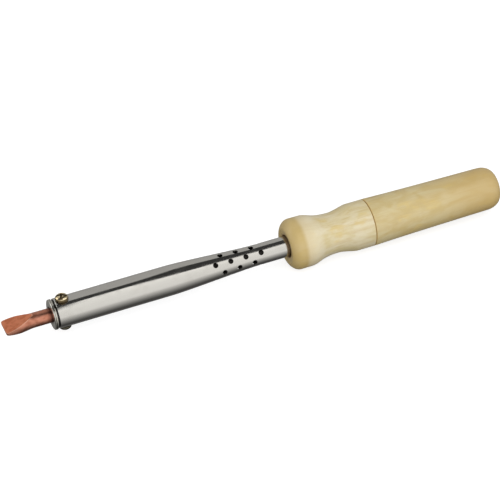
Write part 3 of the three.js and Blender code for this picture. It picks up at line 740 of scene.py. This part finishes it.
# ---- handle ----
def make_front_grip():
    size = (NOSE_RADIUS - NOSE["face"], NOSE["round_to"] - NOSE["front"])
    lip = math.radians(NOSE["lip_turn"])
    lip_point = (NOSE["face"] + size[0] * math.sin(lip), NOSE["round_to"] - size[1] * math.cos(lip))
    outline = Outline(GRIP_BORE["radius"], NOSE["bore_from"])
    outline.line(NOSE["mouth_radius"], NOSE["mouth"])
    outline.curve((NOSE["dish_radius"], NOSE["dish"]), lip_point, steps=14)
    outline.round((NOSE["face"], NOSE["round_to"]), size, NOSE["lip_turn"] - 90, 0, steps=24)
    outline.line(NOSE_RADIUS, NOSE["flat_to"], steps=3)
    outline.curve(
        (NOSE_RADIUS, NOSE["flat_to"] + NOSE["ease"]),
        (WAIST["radius"], WAIST["at"] - WAIST["ease_in"]),
        (WAIST["radius"], WAIST["at"]), steps=28,
    )
    outline.curve(
        (WAIST["radius"], WAIST["at"] + WAIST["ease_out"]),
        (COLLAR_RADIUS, COLLAR["start"] - COLLAR["ease"]),
        (COLLAR_RADIUS, COLLAR["start"]), steps=20,
    )
    back, chamfer = COLLAR["back"], COLLAR["chamfer"]
    outline.line(COLLAR_RADIUS, back - chamfer, steps=4)
    outline.curve((COLLAR_RADIUS, back), (COLLAR_RADIUS - chamfer, back), steps=5)
    outline.line(SPIGOT_RADIUS, back)
    outline.line(SPIGOT_RADIUS, SPIGOT_BACK - SPIGOT_CHAMFER)
    outline.line(SPIGOT_RADIUS - SPIGOT_CHAMFER, SPIGOT_BACK)
    outline.line(GRIP_BORE["wide"], SPIGOT_BACK)
    outline.line(GRIP_BORE["wide"], GRIP_BORE["step_at"])
    outline.line(GRIP_BORE["radius"], GRIP_BORE["step_at"])
    piece("front_grip_wood", turned("front_grip", outline.points, FINE), "front_wood", "iron", "front_grip")


def make_rear_grip():
    socket = SPIGOT_RADIUS + GAP
    chamfer = COLLAR["chamfer"]
    outline = Outline(socket, REAR_FRONT)
    outline.line(COLLAR_RADIUS - chamfer, REAR_FRONT)
    outline.curve((COLLAR_RADIUS, REAR_FRONT), (COLLAR_RADIUS, REAR_FRONT + chamfer), steps=5)
    outline.line(COLLAR_RADIUS, REAR["tapers_from"], steps=2)
    outline.curve((REAR["ease_radius"], REAR["ease_to"]), (REAR["back_radius"], REAR["round_from"]), steps=30)
    size = (REAR["back_radius"] - REAR["face"], REAR_BACK - REAR["round_from"])
    outline.round((REAR["face"], REAR["round_from"]), size, 0, 90, steps=24)
    outline.line(GROMMET["lip"] + GAP, REAR_BACK)
    outline.line(GROMMET["lip"] + GAP, GROMMET["lip_front"] - GAP)
    outline.line(GROMMET["body"] + GAP, GROMMET["lip_front"] - GAP)
    outline.line(GROMMET["body"] + GAP, REAR["cavity_back"])
    outline.line(REAR["cavity"], REAR["cavity_back"])
    outline.line(REAR["cavity"], REAR["socket_back"])
    outline.line(socket, REAR["socket_back"])
    piece("rear_grip_wood", turned("rear_grip", outline.points, FINE), "rear_wood", "rear_grip", "rear_grip")


def make_grommet():
    shade_behind_flange = GROMMET_FRONT + GROMMET["flange_thick"]
    soft, lip, bore = GROMMET["soft"], GROMMET["lip"], GROMMET["bore"]
    outline = Outline(bore, GROMMET_FRONT + soft)
    outline.curve((bore, GROMMET_FRONT), (bore + soft, GROMMET_FRONT), steps=5)
    outline.line(GROMMET_FLANGE - soft, GROMMET_FRONT)
    outline.curve((GROMMET_FLANGE, GROMMET_FRONT), (GROMMET_FLANGE, GROMMET_FRONT + soft), steps=5)
    outline.line(GROMMET_FLANGE, shade_behind_flange)
    outline.line(GROMMET["body"], shade_behind_flange)
    outline.line(GROMMET["body"], GROMMET["lip_front"])
    outline.line(lip, GROMMET["lip_front"])
    outline.line(lip, GROMMET_BACK - soft)
    outline.curve((lip, GROMMET_BACK), (lip - soft, GROMMET_BACK), steps=6)
    outline.line(bore + soft, GROMMET_BACK)
    outline.curve((bore, GROMMET_BACK), (bore, GROMMET_BACK - soft), steps=6)
    mesh = turned("grommet", outline.points, MEDIUM)
    piece("grommet_rubber", mesh, "rubber", "rear_grip", "cord_grommet")


# ---- CAD pieces that keep their shape ----
KEPT = {
    "heater_sleeve": "heater_steel", "inner_mica": "mica", "heater_winding": "resistance_wire",
    "outer_mica": "mica", "heater_jacket": "heater_steel", "heater_end_washer": "heater_steel",
    "lead_insulator": "ceramic", "heater_lead_left": "resistance_wire",
    "heater_lead_right": "resistance_wire", "barrel_retainer": "heater_steel",
    "terminal_block": "phenolic", "terminal_left": "brass", "terminal_right": "brass",
    "terminal_screw_left_front": "heater_steel", "terminal_screw_left_rear": "heater_steel",
    "terminal_screw_right_front": "heater_steel", "terminal_screw_right_rear": "heater_steel",
}


def dress_kept_nodes():
    for name, slot in KEPT.items():
        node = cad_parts[name]
        node.data.materials.clear()
        node.data.materials.append(MATERIALS[slot])


# ---- studio ----
CAMERA = dict(azimuth=-20.182, elevation=37.531, roll=3.63, distance=1299.7, lens=153.7, sensor=36)
AIM = (129.30, 3.22, 2.50)  # what the camera looks at: along the iron, across it and above its axis, in mm

# the dome: degrees round the iron's axis from straight down, by way of the front, and the brightness there
DOME = ((0, 0.05), (22, 0.1), (42, 0.26), (60, 0.5), (74, 0.72), (86, 1.0), (104, 1.02), (130, 1.06),
        (160, 1.2), (176, 1.2), (190, 0.5), (250, 0.48), (290, 0.34), (312, 0.22), (340, 0.12))
DOME_TINT = (1, 0.985, 0.95)

# the flag overhead and the card beyond the bit, as corners in metres
FLAG_HEIGHT = 0.5
FLAG = ((-1, -0.37), (-0.037, -0.37), (-0.022, -0.09), (0.03, -0.095), (0.05, -0.155), (0.075, -0.175),
        (0.17, -0.175), (0.19, -0.1), (0.22, -0.06), (1.2, -0.06), (1.2, 0.27), (0.12, 0.26), (0.07, 0.21),
        (0.035, 0.12), (-1, 0.1))
CARD = ((-1.3, 0.35, 0.15), (-1.3, 1.3, 0.15), (-1.3, 1.3, 1.3), (-1.3, 0.35, 1.3))

# the soft lights: watts and place in metres
FILLS = dict(front=(4.5, (-0.35, -1.1, 1.15)), low=(2.0, (0.1, -1.3, 0.2)), back=(1.2, (0.2, 1.0, 1.0)))
FILL_SIZE = 1.2
FLOOR = tuple((8 * x, 8 * y, 0) for x, y in ((-1, -1), (1, -1), (1, 1), (-1, 1)))


def make_camera():
    camera = bpy.data.objects.new("camera", bpy.data.cameras.new("camera"))
    bpy.context.scene.collection.objects.link(camera)
    azimuth, elevation = math.radians(CAMERA["azimuth"]), math.radians(CAMERA["elevation"])
    back = Vector((
        math.sin(azimuth) * math.cos(elevation),
        -math.cos(azimuth) * math.cos(elevation),
        math.sin(elevation),
    ))
    camera.location = placed(*AIM) + back * CAMERA["distance"] * MM
    camera.rotation_mode = "QUATERNION"
    turn = Matrix.Rotation(math.radians(-CAMERA["roll"]), 3, "Z")
    camera.rotation_quaternion = ((-back).to_track_quat("-Z", "Y").to_matrix() @ turn).to_quaternion()
    camera.data.lens = CAMERA["lens"]
    camera.data.sensor_width = CAMERA["sensor"]
    camera.data.clip_start, camera.data.clip_end = 0.05, 30
    bpy.context.scene.camera = camera


def make_dome():
    """A sky whose brightness changes round the iron's axis and not along it."""
    world = bpy.data.worlds.new("studio")
    bpy.context.scene.world = world
    world.use_nodes = True
    tree = world.node_tree
    parts = tree.nodes.new("ShaderNodeSeparateXYZ")
    plug(tree, parts.inputs[0], tree.nodes.new("ShaderNodeTexCoord").outputs["Generated"])
    # 0 is the front horizon, 90 is overhead and 180 is the back horizon
    towards_front = math_node(tree, "MULTIPLY", parts.outputs["Y"], -1)
    round_axis = math_node(tree, "ARCTAN2", parts.outputs["Z"], towards_front)
    degrees = math_node(tree, "MULTIPLY", round_axis, 360 / TURN)
    from_bottom = math_node(tree, "MODULO", math_node(tree, "ADD", degrees, 90 + 360), 360)
    ramp = tree.nodes.new("ShaderNodeValToRGB")
    plug(tree, ramp.inputs[0], math_node(tree, "DIVIDE", from_bottom, 360))
    points = ramp.color_ramp.elements
    while len(points) < len(DOME):
        points.new(0.5)
    for element, (place, brightness) in zip(points, DOME):
        element.position = place / 360
        element.color = (*(brightness * tint for tint in DOME_TINT), 1)
    plug(tree, tree.nodes["Background"].inputs["Color"], ramp.outputs[0])


def panel(name, corners, color, glow, hidden_from, roughness=0.5):
    """A flat piece of the studio that gives light of its own and is hidden from some kinds of ray."""
    mesh = bpy.data.meshes.new(name)
    mesh.from_pydata(corners, [], [tuple(range(len(corners)))])
    paint = bpy.data.materials.new(name)
    paint.use_nodes = True
    shader = paint.node_tree.nodes["Principled BSDF"].inputs
    shader["Base Color"].default_value = (*color, 1)
    shader["Roughness"].default_value = roughness
    shader["Emission Color"].default_value = (1, 1, 1, 1)
    shader["Emission Strength"].default_value = glow
    mesh.materials.append(paint)
    made = bpy.data.objects.new(name, mesh)
    bpy.context.scene.collection.objects.link(made)
    for ray in hidden_from:
        setattr(made, f"visible_{ray}", False)


def make_fills():
    """Soft lights that metal doesn't mirror."""
    for name, (watts, place) in FILLS.items():
        fill = bpy.data.objects.new(name, bpy.data.lights.new(name, "AREA"))
        fill.data.energy, fill.data.size = watts, FILL_SIZE
        fill.location = place
        fill.rotation_mode = "QUATERNION"
        fill.rotation_quaternion = (-fill.location).to_track_quat("-Z", "Y")
        fill.visible_glossy = False
        bpy.context.scene.collection.objects.link(fill)


def make_studio():
    """A soft dome, a dark flag overhead and a pale card that only gloss sees, soft fills and a pale floor."""
    bpy.context.scene.view_settings.view_transform = "Standard"
    make_dome()
    gloss_only = ("camera", "diffuse", "shadow")
    panel("flag", [(x, y, FLAG_HEIGHT) for x, y in FLAG], (0.01, 0.01, 0.01), 0.035, gloss_only)
    panel("card", CARD, (0.8, 0.8, 0.8), 1.2, gloss_only)
    make_fills()
    panel("floor", FLOOR, (0.45, 0.455, 0.47), 0.75, ("diffuse", "glossy"), roughness=0.9)


make_camera()
make_studio()
make_bit()
make_bush()
make_screw("screw_top_brass", "clamp_screw_top", 0.0)
make_screw("screw_bottom_brass", "clamp_screw_bottom", math.pi)
make_barrel()
make_front_grip()
make_rear_grip()
make_grommet()
dress_kept_nodes()
